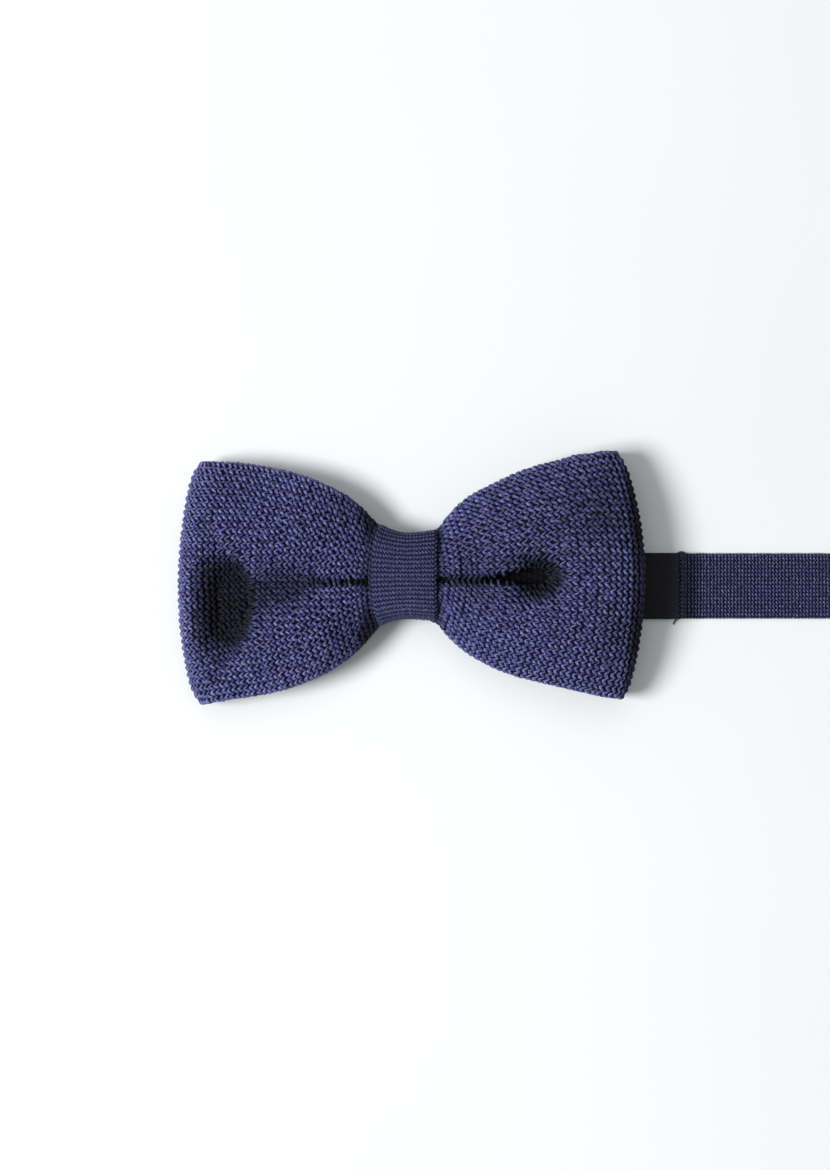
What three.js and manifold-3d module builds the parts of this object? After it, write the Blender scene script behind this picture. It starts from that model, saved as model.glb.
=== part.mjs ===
// Knitted pre-tied bow tie, lying face up with its neck strap laid out straight.
// Millimetres. +X along the neck strap, +Y up the bow, +Z out of its face.
// The origin is on the back of the knot, on the strap's centre line.

import * as THREE from 'three';
import { mergeVertices } from 'three/addons/utils/BufferGeometryUtils.js';
import Module from 'manifold-3d';

const wasm = await Module();
wasm.setup();

// ---- driving sizes -------------------------------------------------------

const gap = 0.3; // between pieces that touch

const knotLeft = 8.8;
const knotRight = 8.5;
const knotTop = 15.0;
const knotBottom = 9.6;
const knotDepth = 13.1;
const knotCorner = 5.4;
const bandThickness = 1.2;
const threadTurnsWidth = 2.4;
const threadTurnsDepth = 0.8;

const plyThickness = 2.4;
const noseRadius = 4.5;
const leftReach = 58.3;
const rightReach = 62.1;
const leftFoldRadius = 5.6;
const rightFoldRadius = 9;
const rightNoseLift = 1.1; // of the wing's underside above the elastic, at its root
const rightFoldLift = 0.1; // and at its outer fold
const leftWing = {
  rootTop: 16.6, rootBottom: 10.4,
  cornerTop: [52.4, 32.6], cornerBottom: [53.2, -31.2],
  crownTop: 5.6, crownBottom: -4.6, corner: 3,
};
const rightWing = {
  rootTop: 14.9, rootBottom: 9.7,
  cornerTop: [54.6, 35.7], cornerBottom: [58, -29.9],
  crownTop: 4.6, crownBottom: -3.6, corner: 3,
};

const strapWidth = 17.3;
const strapThickness = 1.0;
const elasticThickness = 1.1;
const elasticEnd = 71.8;
const hemLength = 5;
const sectionLength = 48;
const sectionCount = 3;
const lastSectionLength = 74;
const bendAngle = 50;
const tabReach = 36.5;
const tabFold = 10;

const wire = 1.6; // section of the eye and the hook
const eyeOpening = 6.6;
const hookOpening = 4.1;
const hookLength = 13;
const tongueWidth = 9;
const tongueThickness = 1.2;
const throat = 2.2;

const plate = 1.0; // sheet metal of the adjuster
const railWidth = 1.8;
const sliderLength = 11;
const sliderPlace = 237.5;
const barWidth = 1.6;
const stitchThickness = 0.6;

// ---- sizes that follow from them -----------------------------------------

const halfStrap = strapWidth / 2;
const rail = halfStrap + gap; // inner edge of every metal side rail
const bandFloor = elasticThickness + gap;
const knotMiddle = (knotTop - knotBottom) / 2;
const knotLevel = bandFloor + knotDepth / 2;
const wireHalf = wire / 2;
const elasticRing = wireHalf + gap + elasticThickness;
const strapRing = wireHalf + gap + strapThickness;
const hemStart = elasticEnd + gap;
const stretchStart = hemStart + hemLength + gap;
const liftedFloor = plate + gap; // underside of the strap where it crosses the adjuster
const barRing = Math.hypot(barWidth, plate) / 2 + gap + strapThickness;
const barLevel = liftedFloor + strapThickness + gap + barRing;
const lastStart = stretchStart + sectionCount * sectionLength;
const lastEnd = lastStart + lastSectionLength;
const foldCentre = lastEnd + gap + strapRing;
const foldLevel = liftedFloor + strapRing;
const tabTop = 2 * elasticRing;
const leftNose = [-(knotLeft + noseRadius + gap), tabTop + gap + noseRadius];
const rightNose = [knotRight + noseRadius + gap, bandFloor + rightNoseLift + noseRadius];
const leftFold = [-(leftReach - leftFoldRadius), tabTop + gap + leftFoldRadius];
const rightFold = [rightReach - rightFoldRadius, bandFloor + rightFoldLift + rightFoldRadius];

// ---- finishes -------------------------------------------------------------

const finishes = {
  bowKnit: { color: 0x3d4063, roughness: 0.95, metalness: 0 },
  fineKnit: { color: 0x35394f, roughness: 0.9, metalness: 0 },
  elastic: { color: 0x1e1d22, roughness: 0.8, metalness: 0 },
  thread: { color: 0x23243a, roughness: 0.7, metalness: 0 },
  metal: { color: 0xb9bbc0, roughness: 0.3, metalness: 1 },
};

const bowTie = new THREE.Group();

function addPiece(name, geometry, finish, parent = bowTie) {
  const mesh = new THREE.Mesh(geometry, new THREE.MeshStandardMaterial(finishes[finish]));
  mesh.name = name;
  parent.add(mesh);
  return mesh;
}

// ---- solids -----------------------------------------------------------------

function toSolid(geometry) {
  const bare = geometry.clone();
  bare.deleteAttribute('normal');
  bare.deleteAttribute('uv');
  const merged = mergeVertices(bare, 1e-4);
  return new wasm.Manifold(new wasm.Mesh({
    numProp: 3,
    vertProperties: new Float32Array(merged.attributes.position.array),
    triVerts: new Uint32Array(merged.index.array),
  }));
}

function toGeometry(solid) {
  const mesh = solid.getMesh();
  const geometry = new THREE.BufferGeometry();
  geometry.setAttribute('position', new THREE.Float32BufferAttribute(mesh.vertProperties, 3));
  geometry.setIndex(Array.from(mesh.triVerts));
  geometry.computeVertexNormals();
  return geometry;
}

function join(geometries) {
  const solids = geometries.map(toSolid);
  return toGeometry(solids.reduce((whole, solid) => whole.add(solid)));
}

function cut(geometry, cutter) {
  return toGeometry(toSolid(geometry).subtract(toSolid(cutter)));
}

function box(x0, x1, y0, y1, z0, z1) {
  const geometry = new THREE.BoxGeometry(x1 - x0, y1 - y0, z1 - z0);
  geometry.translate((x0 + x1) / 2, (y0 + y1) / 2, (z0 + z1) / 2);
  return geometry;
}

function extrude(shape, depth, arcSteps) {
  return new THREE.ExtrudeGeometry(shape, { depth, bevelEnabled: false, curveSegments: arcSteps });
}

// A side view, drawn in X and Z, drawn out from y0 to y1.
function prismAcross(shape, y0, y1, arcSteps = 8) {
  const geometry = extrude(shape, y1 - y0, arcSteps);
  geometry.rotateX(Math.PI / 2);
  geometry.translate(0, y1, 0);
  return geometry;
}

// A plan view, drawn in X and Y, drawn out from z0 to z1.
function prismUp(shape, z0, z1, arcSteps = 6) {
  const geometry = extrude(shape, z1 - z0, arcSteps);
  geometry.translate(0, 0, z0);
  return geometry;
}

// A frame pressed from wire, centred on z = 0, with its edges taken off.
function pressedFrame(shape) {
  const edge = 0.28 * wire;
  const geometry = new THREE.ExtrudeGeometry(shape, {
    depth: wire - 2 * edge,
    bevelThickness: edge,
    bevelSize: edge,
    bevelOffset: -edge,
    bevelSegments: 1,
    curveSegments: 4,
  });
  geometry.translate(0, 0, edge - wire / 2);
  return geometry;
}

// An end view, drawn in Y and Z, drawn out from x0 to x1.
function prismAlong(shape, x0, x1, arcSteps = 6) {
  const geometry = extrude(shape, x1 - x0, arcSteps);
  const turn = new THREE.Matrix4().makeBasis(
    new THREE.Vector3(0, 1, 0),
    new THREE.Vector3(0, 0, 1),
    new THREE.Vector3(1, 0, 0),
  );
  geometry.applyMatrix4(turn);
  geometry.translate(x0, 0, 0);
  return geometry;
}

function polygon(points) {
  return new THREE.Shape(points.map(([a, b]) => new THREE.Vector2(a, b)));
}

function roundedBlock(a0, a1, b0, b1, radius) {
  const shape = new THREE.Shape();
  shape.absarc(a1 - radius, b0 + radius, radius, -Math.PI / 2, 0, false);
  shape.absarc(a1 - radius, b1 - radius, radius, 0, Math.PI / 2, false);
  shape.absarc(a0 + radius, b1 - radius, radius, Math.PI / 2, Math.PI, false);
  shape.absarc(a0 + radius, b0 + radius, radius, Math.PI, 1.5 * Math.PI, false);
  return shape;
}

function roundHole(a, b, radius) {
  const hole = new THREE.Path();
  hole.absarc(a, b, radius, 0, 2 * Math.PI, true);
  return hole;
}

// Two circles and the straight lines that wrap them.
function teardrop(small, smallRadius, large, largeRadius) {
  const span = Math.hypot(large[0] - small[0], large[1] - small[1]);
  const direction = Math.atan2(large[1] - small[1], large[0] - small[0]);
  const reach = Math.acos((smallRadius - largeRadius) / span);
  const shape = new THREE.Shape();
  shape.absarc(...small, smallRadius, direction + reach, direction - reach + 2 * Math.PI, false);
  shape.absarc(...large, largeRadius, direction - reach, direction + reach, false);
  return shape;
}

// ---- knot -------------------------------------------------------------------

function knotSection(inset) {
  return roundedBlock(
    -knotBottom + inset, knotTop - inset,
    bandFloor + inset, bandFloor + knotDepth - inset,
    knotCorner - inset,
  );
}

function buildKnot() {
  const bandSection = knotSection(0);
  bandSection.holes.push(knotSection(bandThickness));
  addPiece('knot_band', prismAlong(bandSection, -knotLeft, knotRight), 'fineKnit');

  const coreInset = bandThickness + gap;
  const turnsInset = coreInset + threadTurnsDepth;
  const halfTurns = threadTurnsWidth / 2;
  const core = prismAlong(knotSection(coreInset), -knotLeft + gap, knotRight - gap);
  const groove = knotSection(coreInset - 1);
  groove.holes.push(knotSection(turnsInset + gap));
  addPiece('gathered_middle', cut(core, prismAlong(groove, -halfTurns - gap, halfTurns + gap)), 'bowKnit');

  const turns = knotSection(coreInset);
  turns.holes.push(knotSection(turnsInset));
  addPiece('gathering_thread', prismAlong(turns, -halfTurns, halfTurns), 'thread');
}

// ---- wings ------------------------------------------------------------------

// Half of the bow's face: a narrow root, two crowned edges and a bowed outer fold.
// side is 1 for the right wing and -1 for the left one.
function wingFace(wing, side, root, reach) {
  const outer = reach + 0.5;
  const [topX, topY] = wing.cornerTop;
  const [bottomX, bottomY] = wing.cornerBottom;
  const shape = new THREE.Shape();
  shape.moveTo(side * root, -wing.rootBottom);
  shape.quadraticCurveTo(
    side * (root + bottomX) / 2, (bottomY - wing.rootBottom) / 2 + 2 * wing.crownBottom,
    side * (bottomX - wing.corner), bottomY,
  );
  shape.quadraticCurveTo(side * bottomX, bottomY, side * (bottomX + 0.6), bottomY + wing.corner);
  shape.quadraticCurveTo(
    side * (2 * outer - (bottomX + topX) / 2), (topY + bottomY) / 2,
    side * (topX + 0.9), topY - wing.corner,
  );
  shape.quadraticCurveTo(side * topX, topY, side * (topX - wing.corner), topY);
  shape.quadraticCurveTo(
    side * (root + topX) / 2, (topY + wing.rootTop) / 2 + 2 * wing.crownTop,
    side * root, wing.rootTop,
  );
  return shape;
}

function buildWing(name, wing, side, nose, fold, foldRadius, reach) {
  const loop = teardrop(nose, noseRadius, fold, foldRadius);
  loop.holes.push(teardrop(nose, noseRadius - plyThickness, fold, foldRadius - plyThickness));
  const tallest = Math.max(wing.cornerTop[1], -wing.cornerBottom[1]) + 5;
  const ply = prismAcross(loop, -tallest, tallest, 9);
  const root = Math.abs(nose[0]) - noseRadius - 1;
  const face = prismUp(wingFace(wing, side, root, reach), -1, 2 * foldRadius + tabTop + 5, 7);
  addPiece(name, toGeometry(toSolid(ply).intersect(toSolid(face))), 'bowKnit');
}

// ---- elastic and its eye ------------------------------------------------------

// Ends of two pieces that bend about a line at half their thickness are cut to a blunt V.
function bendingStrip(x0, x1, thickness, pointed0, pointed1, z0 = 0) {
  const slope = (thickness / 2) * Math.tan(THREE.MathUtils.degToRad(bendAngle / 2)) + 0.1;
  const middle = z0 + thickness / 2;
  const points = [[x0 + (pointed0 ? slope : 0), z0], [x1 - (pointed1 ? slope : 0), z0]];
  if (pointed1) points.push([x1, middle]);
  points.push([x1 - (pointed1 ? slope : 0), z0 + thickness]);
  points.push([x0 + (pointed0 ? slope : 0), z0 + thickness]);
  if (pointed0) points.push([x0, middle]);
  return polygon(points);
}

const anchorEnd = knotRight + 0.4;

function buildElastic() {
  const foldShape = teardrop(
    [-tabReach, elasticRing], elasticRing,
    [-tabReach + tabFold, elasticThickness], elasticThickness,
  );
  foldShape.holes.push(roundHole(-tabReach, elasticRing, wireHalf + gap));
  const fold = prismAcross(foldShape, -halfStrap, halfStrap, 10);
  const overlap = -tabReach + tabFold - 1;
  const run = prismAcross(
    bendingStrip(overlap, anchorEnd, elasticThickness, false, true),
    -halfStrap, halfStrap,
  );
  addPiece('elastic_short_end', join([fold, run]), 'elastic');

  const stitchX = -tabReach + tabFold - 1;
  const stitchZ = 2 * elasticThickness + gap + 0.2;
  addPiece(
    'fold_stitching',
    prismAcross(
      roundedBlock(stitchX, stitchX + 2, stitchZ, stitchZ + stitchThickness, 0.25),
      -halfStrap + 1.5, halfStrap - 1.5, 3,
    ),
    'thread',
  );

  addPiece(
    'elastic',
    prismAcross(
      bendingStrip(anchorEnd + gap, elasticEnd, elasticThickness, true, false),
      -halfStrap, halfStrap,
    ),
    'elastic',
  );
}

// A pressed frame with one opening, lying on its bar along Y at the origin.
function framePlan(opening, side) {
  const outerY = rail + wire;
  const near = -wireHalf;
  const far = wireHalf + opening + wire;
  const ends = side > 0 ? [near, far] : [-far, -near];
  const frame = roundedBlock(ends[0], ends[1], -outerY, outerY, 1.2);
  const inner = side > 0 ? [wireHalf, wireHalf + opening] : [-wireHalf - opening, -wireHalf];
  const hole = roundedBlock(inner[0], inner[1], -rail, rail, 0.4);
  frame.holes.push(hole);
  return frame;
}

function buildEye() {
  const eye = addPiece('eye', pressedFrame(framePlan(eyeOpening, -1)), 'metal');
  const arm = eyeOpening + wire;
  eye.position.set(-tabReach, 0, elasticRing);
  eye.rotation.y = -Math.asin((elasticRing - wireHalf - 0.1) / arm);
}

// ---- neck strap ------------------------------------------------------------------

function buildStrap() {
  const hemDepth = 2 * strapThickness;
  addPiece(
    'strap_hem',
    prismAcross(
      polygon([
        [hemStart, 0],
        [hemStart + hemLength - 0.6, 0],
        [hemStart + hemLength, strapThickness / 2],
        [hemStart + hemLength - 0.6, strapThickness],
        [hemStart + hemLength - 1.2, hemDepth],
        [hemStart, hemDepth],
      ]),
      -halfStrap, halfStrap,
    ),
    'fineKnit',
  );
  const ridge = hemDepth + gap;
  addPiece(
    'hem_stitching',
    prismAcross(
      roundedBlock(hemStart + 0.4, hemStart + 2, ridge, ridge + stitchThickness, 0.25),
      -halfStrap + 0.6, halfStrap - 0.6, 3,
    ),
    'thread',
  );

  for (let index = 0; index < sectionCount; index += 1) {
    const start = stretchStart + index * sectionLength;
    const strip = bendingStrip(start, start + sectionLength - gap, strapThickness, true, true);
    addPiece(`strap_${index + 1}`, prismAcross(strip, -halfStrap, halfStrap), 'fineKnit');
  }

  const slope = (strapThickness / 2) * Math.tan(THREE.MathUtils.degToRad(bendAngle / 2)) + 0.1;
  const rise = sliderPlace - sliderLength / 2 - 2;
  const lifted = polygon([
    [lastStart + slope, 0],
    [rise - 4, 0],
    [rise, liftedFloor],
    [lastEnd, liftedFloor],
    [lastEnd, liftedFloor + strapThickness],
    [rise - 0.3, liftedFloor + strapThickness],
    [rise - 4.3, strapThickness],
    [lastStart + slope, strapThickness],
    [lastStart, strapThickness / 2],
  ]);
  addPiece(`strap_${sectionCount + 1}`, prismAcross(lifted, -halfStrap, halfStrap), 'fineKnit');
}

function buildAdjuster() {
  const outerY = rail + railWidth;
  const halfLength = sliderLength / 2;
  const plan = roundedBlock(-halfLength, halfLength, -outerY, outerY, 1.2);
  plan.holes.push(roundedBlock(-halfLength + railWidth, halfLength - railWidth, -rail, rail, 0.4));
  const bar = box(
    -barWidth / 2, barWidth / 2, -outerY + 0.2, outerY - 0.2,
    barLevel - plate / 2, barLevel + plate / 2,
  );
  const posts = [-1, 1].map((side) => {
    const inner = side * rail;
    const outer = side * (outerY - 0.2);
    return box(
      -barWidth / 2, barWidth / 2, Math.min(inner, outer), Math.max(inner, outer),
      plate / 2, barLevel,
    );
  });
  const slider = addPiece('adjuster_slide', join([prismUp(plan, 0, plate, 4), bar, ...posts]), 'metal');
  slider.position.x = sliderPlace;

  const foldTop = foldLevel + strapRing;
  const ringTop = barLevel + barRing;
  const tailEnd = foldCentre - strapRing - 4;
  const ring = teardrop(
    [sliderPlace, barLevel], barRing,
    [sliderPlace + 9, ringTop - strapThickness], strapThickness,
  );
  ring.holes.push(roundHole(sliderPlace, barLevel, barRing - strapThickness));
  const run = polygon([
    [sliderPlace + 8, ringTop - strapThickness],
    [tailEnd, foldTop - strapThickness],
    [tailEnd, foldTop],
    [sliderPlace + 8, ringTop],
  ]);
  addPiece(
    'strap_tail',
    join([
      prismAcross(ring, -halfStrap, halfStrap, 10),
      prismAcross(run, -halfStrap, halfStrap),
    ]),
    'fineKnit',
  );
  addPiece(
    'tail_stitching',
    prismAcross(
      roundedBlock(sliderPlace + 6, sliderPlace + 7.6, ringTop + gap, ringTop + gap + stitchThickness, 0.25),
      -halfStrap + 1, halfStrap - 1, 3,
    ),
    'thread',
  );
}

// ---- hook ----------------------------------------------------------------------

function buildHook() {
  const centre = [foldCentre, foldLevel];
  const inner = strapRing - strapThickness;
  const shape = new THREE.Shape();
  const upperBack = foldCentre - strapRing - 4 + gap;
  shape.moveTo(lastEnd + gap, foldLevel - strapRing);
  shape.lineTo(foldCentre, foldLevel - strapRing);
  shape.absarc(...centre, strapRing, -Math.PI / 2, Math.PI / 2, false);
  shape.lineTo(upperBack, foldLevel + strapRing);
  shape.lineTo(upperBack, foldLevel + inner);
  shape.lineTo(foldCentre, foldLevel + inner);
  shape.absarc(...centre, inner, Math.PI / 2, -Math.PI / 2, true);
  shape.lineTo(lastEnd + gap, foldLevel - inner);
  addPiece('strap_fold', prismAcross(shape, -halfStrap, halfStrap, 12), 'fineKnit');

  const tongueStart = wireHalf + hookOpening + wire / 2;
  const half = tongueThickness / 2;
  const bendCentre = half + throat / 2;
  const bendX = hookLength - half - throat / 2;
  const tip = tongueStart + 2.6;
  const tongue = new THREE.Shape();
  tongue.moveTo(tongueStart, -half);
  tongue.lineTo(bendX, -half);
  tongue.absarc(bendX, bendCentre, throat / 2 + tongueThickness, -Math.PI / 2, Math.PI / 2, false);
  tongue.lineTo(tip, bendCentre + throat / 2 + tongueThickness);
  tongue.lineTo(tip, bendCentre + throat / 2);
  tongue.lineTo(bendX, bendCentre + throat / 2);
  tongue.absarc(bendX, bendCentre, throat / 2, Math.PI / 2, -Math.PI / 2, true);
  tongue.lineTo(tongueStart, half);
  const geometry = join([
    pressedFrame(framePlan(hookOpening, 1)),
    prismAcross(tongue, -tongueWidth / 2, tongueWidth / 2, 8),
  ]);
  const hook = addPiece('hook', geometry, 'metal');
  hook.position.set(foldCentre, 0, foldLevel);
  hook.rotation.y = Math.asin((foldLevel - half - 0.35) / hookLength);
}

buildKnot();
buildWing('left_wing', leftWing, -1, leftNose, leftFold, leftFoldRadius, leftReach);
buildWing('right_wing', rightWing, 1, rightNose, rightFold, rightFoldRadius, rightReach);
buildElastic();
buildEye();
buildStrap();
buildAdjuster();
buildHook();

export default bowTie;
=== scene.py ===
import math

import bmesh
import bpy
import numpy as np
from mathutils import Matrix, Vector


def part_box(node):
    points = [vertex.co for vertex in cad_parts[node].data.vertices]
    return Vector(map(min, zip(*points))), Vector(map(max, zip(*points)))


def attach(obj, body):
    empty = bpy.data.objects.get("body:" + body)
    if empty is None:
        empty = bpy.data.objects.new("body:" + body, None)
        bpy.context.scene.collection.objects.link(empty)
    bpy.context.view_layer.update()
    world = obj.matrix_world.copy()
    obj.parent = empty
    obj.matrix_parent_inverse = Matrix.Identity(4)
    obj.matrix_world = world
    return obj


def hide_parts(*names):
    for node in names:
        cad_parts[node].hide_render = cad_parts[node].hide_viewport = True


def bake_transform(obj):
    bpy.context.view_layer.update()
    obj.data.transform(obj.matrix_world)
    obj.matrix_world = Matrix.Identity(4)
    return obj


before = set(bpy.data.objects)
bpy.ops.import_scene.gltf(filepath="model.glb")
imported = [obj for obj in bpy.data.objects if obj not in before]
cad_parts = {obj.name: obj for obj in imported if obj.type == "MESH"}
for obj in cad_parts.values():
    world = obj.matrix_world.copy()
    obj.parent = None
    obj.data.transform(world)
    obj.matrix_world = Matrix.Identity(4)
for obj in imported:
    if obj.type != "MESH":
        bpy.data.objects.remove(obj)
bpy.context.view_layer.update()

MM = 0.001


# ---- camera ------------------------------------------------------------------

CAMERA_DISTANCE = 0.70      # above the middle of the bow's depth
CAMERA_LEVEL = 0.008
VIEW_HEIGHT = 0.3026        # of the picture, at that level
VIEW_CENTRE = (0.00284, 0.00026)
SENSOR = 36.0


def make_camera():
    data = bpy.data.cameras.new("camera")
    data.sensor_width = SENSOR
    data.lens = SENSOR * CAMERA_DISTANCE / VIEW_HEIGHT
    data.clip_start = 0.01
    data.clip_end = 20.0
    camera = bpy.data.objects.new("camera", data)
    camera.location = (*VIEW_CENTRE, CAMERA_LEVEL + CAMERA_DISTANCE)
    bpy.context.scene.collection.objects.link(camera)
    bpy.context.scene.camera = camera


make_camera()
bpy.context.scene.view_settings.view_transform = "Standard"


# ---- materials ---------------------------------------------------------------

def linear(hex_colour):
    """An sRGB hex colour as a linear RGBA tuple."""
    channels = [int(hex_colour[i:i + 2], 16) / 255 for i in (1, 3, 5)]
    return (*[c / 12.92 if c <= 0.04045 else ((c + 0.055) / 1.055) ** 2.4 for c in channels], 1.0)


def add(tree, kind, inputs=None, **settings):
    """Adds a node. In inputs, a socket is linked and any other value is set."""
    node = tree.nodes.new(kind)
    for name, value in settings.items():
        setattr(node, name, value)
    for name, value in (inputs or {}).items():
        if isinstance(value, bpy.types.NodeSocket):
            tree.links.new(value, node.inputs[name])
        else:
            node.inputs[name].default_value = value
    return node


def new_material(name):
    material = bpy.data.materials.new(name)
    material.use_nodes = True
    tree = material.node_tree
    tree.nodes.clear()
    return material, tree


def with_shader(material, tree, inputs):
    """Ends a material with one Principled shader, and gives the material back."""
    shader = add(tree, "ShaderNodeBsdfPrincipled", inputs)
    add(tree, "ShaderNodeOutputMaterial", {"Surface": shader.outputs["BSDF"]})
    return material


def colour_ramp(tree, factor, stops):
    ramp = add(tree, "ShaderNodeValToRGB", {"Fac": factor})
    elements = ramp.color_ramp.elements
    while len(elements) < len(stops):
        elements.new(0.5)
    for element, (place, colour) in zip(elements, stops):
        element.position = place
        element.color = linear(colour)
    return ramp.outputs["Color"]


def wave_scale(period_mm):
    """The Scale that gives a Wave texture's bands that period."""
    return 2 * math.pi / 20 / (period_mm * MM)


FOLD_SHADE = 0.08        # share of a knit's colour left where its painted shade is deepest
PILE_SHEEN = "#8E90C8"   # of the fine fibre ends that stand off navy yarn


def painted_fold_shade(tree, colour, roughness):
    """Paints shade into a knit's colour by a stored amount of painted shade, and dulls its roughness
    there.
    """
    shade_amount = add(tree, "ShaderNodeAttribute", attribute_name="painted_shade_amount").outputs["Fac"]
    share = add(tree, "ShaderNodeMapRange", {"Value": shade_amount, "To Min": 1.0, "To Max": FOLD_SHADE})
    dulled = add(tree, "ShaderNodeMapRange", {"Value": shade_amount, "From Max": 0.5, "To Min": roughness,
                                              "To Max": 1.0})
    darker = add(tree, "ShaderNodeVectorMath", {0: colour, "Scale": share.outputs["Result"]},
                 operation="SCALE")
    return darker.outputs["Vector"], dulled.outputs["Result"]


def yarn_material(name, shades, cluster_mm, fibre_mm, sheen, roughness):
    """Textured polyester yarn: soft sheen along the strands, each strand a little off in dye."""
    material, tree = new_material(name)
    place = add(tree, "ShaderNodeTexCoord").outputs["Object"]
    dye = add(tree, "ShaderNodeTexNoise",
              {"Vector": place, "Scale": 1 / (cluster_mm * MM), "Detail": 2.0, "Roughness": 0.65})
    colour = colour_ramp(tree, dye.outputs["Fac"],
                         [(0.34, shades[0]), (0.50, shades[1]), (0.66, shades[2])])
    # Painted shade: the yarn's colour is darkened deep in the folds, by the stored amount.
    colour, rough = painted_fold_shade(tree, colour, roughness)
    fibre = add(tree, "ShaderNodeTexNoise",
                {"Vector": place, "Scale": 1 / (fibre_mm * MM), "Detail": 1.0})
    bump = add(tree, "ShaderNodeBump",
               {"Height": fibre.outputs["Fac"], "Strength": 0.5, "Distance": 0.12 * MM})
    return with_shader(material, tree, {
        "Base Color": colour, "Roughness": rough, "Specular IOR Level": 0.38,
        "Sheen Weight": sheen, "Sheen Roughness": 0.4, "Sheen Tint": linear(PILE_SHEEN),
        "Normal": bump.outputs["Normal"],
    })


def backing_material(name, shades, stitch_mm, roughness=0.9):
    """The knit behind its raised strands: matt loops, seen only in the gaps and inside. Behind the
    strands its colours are painted dark as shade.
    """
    material, tree = new_material(name)
    place = add(tree, "ShaderNodeTexCoord").outputs["UV"]
    waves = [add(tree, "ShaderNodeTexWave",
                 {"Vector": place, "Scale": wave_scale(period), "Distortion": 1.5, "Detail Scale": 1.0},
                 wave_type="BANDS", bands_direction=axis) for period, axis in zip(stitch_mm, "XY")]
    loops = add(tree, "ShaderNodeMath", {0: waves[0].outputs["Fac"], 1: waves[1].outputs["Fac"]},
                operation="MULTIPLY")
    colour = colour_ramp(tree, loops.outputs[0], [(0.0, shades[0]), (0.6, shades[1])])
    # Painted shade: the colour is darkened deep in the folds, by the stored amount.
    colour, rough = painted_fold_shade(tree, colour, roughness)
    bump = add(tree, "ShaderNodeBump",
               {"Height": loops.outputs[0], "Strength": 0.6, "Distance": 0.4 * MM})
    return with_shader(material, tree, {
        "Base Color": colour, "Roughness": rough, "Specular IOR Level": 0.15,
        "Normal": bump.outputs["Normal"],
    })


CORD_PITCH = 0.9         # of the rubber cords across the elastic
PICK_PITCH = 0.5         # of the threads woven over them


def elastic_material():
    """Woven rubber-cored elastic: near black and smooth, with faint cords along its length."""
    material, tree = new_material("black_woven_elastic")
    place = add(tree, "ShaderNodeTexCoord").outputs["Object"]
    cords = add(tree, "ShaderNodeTexWave",
                {"Vector": place, "Scale": wave_scale(CORD_PITCH), "Distortion": 0.3},
                wave_type="BANDS", bands_direction="Y")
    picks = add(tree, "ShaderNodeTexNoise",
                {"Vector": place, "Scale": 1 / (PICK_PITCH * MM), "Detail": 2.0})
    height = add(tree, "ShaderNodeMath", {0: cords.outputs["Fac"], 1: picks.outputs["Fac"]},
                 operation="ADD")
    colour = colour_ramp(tree, picks.outputs["Fac"], [(0.3, "#1B1B20"), (0.7, "#232228")])
    bump = add(tree, "ShaderNodeBump",
               {"Height": height.outputs[0], "Strength": 0.35, "Distance": 0.15 * MM})
    return with_shader(material, tree, {
        "Base Color": colour, "Roughness": 0.8, "Specular IOR Level": 0.18,
        "Normal": bump.outputs["Normal"],
    })


RUB_SIZE = 1.5           # of the patches that handling dulls


def nickel_material():
    """Nickel-plated steel: bright warm metal, softly brushed by handling."""
    material, tree = new_material("nickel_plated_steel")
    place = add(tree, "ShaderNodeTexCoord").outputs["Object"]
    wear = add(tree, "ShaderNodeTexNoise",
               {"Vector": place, "Scale": 1 / (RUB_SIZE * MM), "Detail": 3.0})
    rough = add(tree, "ShaderNodeMapRange", {
        "Value": wear.outputs["Fac"], "From Min": 0.3, "From Max": 0.7, "To Min": 0.16, "To Max": 0.34})
    colour = colour_ramp(tree, wear.outputs["Fac"], [(0.3, "#C9C6C0"), (0.7, "#D8D5CF")])
    return with_shader(material, tree, {
        "Base Color": colour, "Metallic": 1.0, "Roughness": rough.outputs["Result"],
    })


# Thick two-tone yarn: light and dark strands side by side make the bow look tweedy and soft.
BOW_YARN = yarn_material(
    "navy_polyester_bow_yarn", ("#2C2E57", "#4B4E86", "#7679AC"), cluster_mm=0.9, fibre_mm=0.22,
    sheen=0.05, roughness=0.42)
# Loops between the bow's columns, coloured near black as painted shade: dark gaps that draw each column.
BOW_BACKING_PAINTED_SHADE = backing_material("navy_bow_knit_backing_painted_shade", ("#08080F", "#17182C"), (1.5, 1.8))
# The same knit from its reverse, without that painted shade: a flat, even navy inside the loops.
BOW_INSIDE = backing_material("navy_bow_knit_reverse", ("#1A1C38", "#44477C"), (1.5, 1.8))
# Thin yarn with pale filaments: the strap looks speckled and a little greyer than the bow.
STRAP_YARN = yarn_material(
    "navy_polyester_strap_yarn", ("#282D56", "#444A76", "#7378A2"), cluster_mm=0.5, fibre_mm=0.15,
    sheen=0.12, roughness=0.48)
# Tightly knitted thin yarn: an even, smoother navy with fine ribs across the knot.
BAND_YARN = yarn_material(
    "navy_polyester_band_yarn", ("#363A5C", "#484C78", "#5F638C"), cluster_mm=0.6, fibre_mm=0.15,
    sheen=0.12, roughness=0.5)
# Loops behind the band's ribs, the knit's own loops coloured dark as painted shade: a soft dark line
# between them.
BAND_BACKING_PAINTED_SHADE = backing_material("navy_band_knit_backing_painted_shade", ("#15172C", "#2B2E4E"), (0.85, 1.1))
# Loops behind the strap's columns, the knit's own loops coloured dark as painted shade: small dark pores.
STRAP_BACKING_PAINTED_SHADE = backing_material("navy_strap_knit_backing_painted_shade", ("#0A0B18", "#191C36"), (0.9, 1.0))
ELASTIC = elastic_material()
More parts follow.
